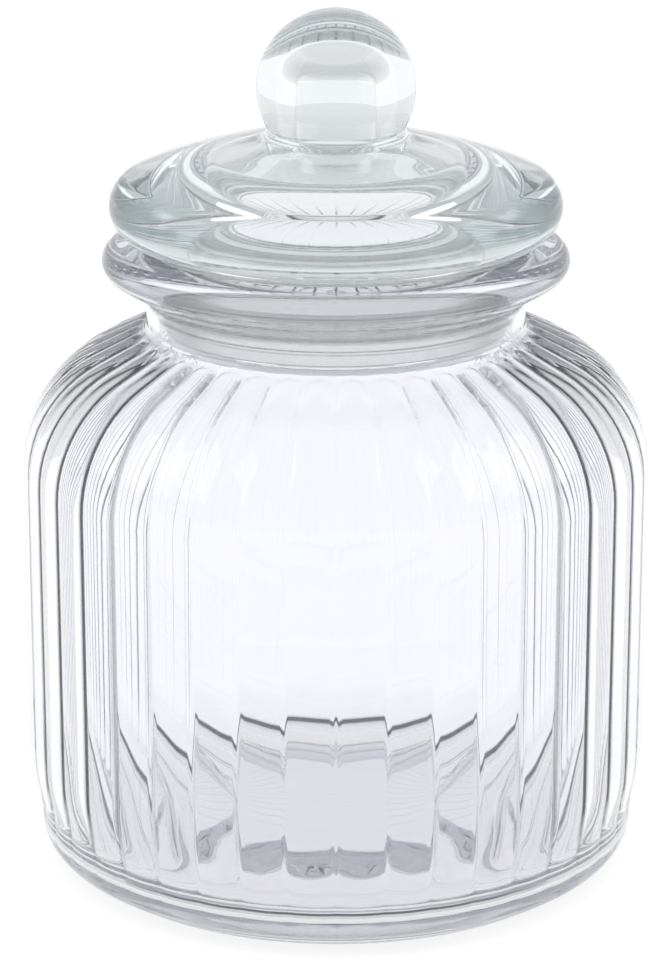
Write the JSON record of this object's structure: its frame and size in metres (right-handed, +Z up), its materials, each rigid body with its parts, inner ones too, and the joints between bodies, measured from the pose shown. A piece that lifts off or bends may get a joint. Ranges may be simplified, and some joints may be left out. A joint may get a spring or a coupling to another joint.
{
  "type": "lidded glass canister",
  "caption": "Ribbed clear glass storage jar with rounded shoulder and flared lip, closed by a domed glass lid with a hollow ball knob and a soft sealing ring round its plug.",
  "frame": {"origin": "centre of the resting face, on the jar's axis", "axes": "+Z up along the jar's axis; +Y away from the front; ribs repeat round the axis"},
  "size_m": [0.175, 0.175, 0.2418],
  "materials": {
    "jar_glass": "clear blown soda-lime glass, fire polished, faint cool tint",
    "lid_glass": "clear pressed soda-lime glass, fire polished, faint green-grey tint in the thick edge",
    "seal_plastic": "soft translucent natural plastic, smooth moulded"
  },
  "bodies": {
    "jar": {"jar": "jar_glass"},
    "seal": {"seal_ring": "seal_plastic"},
    "lid": {"lid": "lid_glass"}
  },
  "joints": [
    {"name": "lid_lift", "type": "slide", "parent": "jar", "child": "seal", "axis": [0, 0, 1], "range_m": [0, 0.06]},
    {"name": "lid_turn", "type": "hinge", "parent": "seal", "child": "lid", "pos_m": [0, 0, 0.179], "axis": [0, 0, 1], "continuous": true}
  ]
}
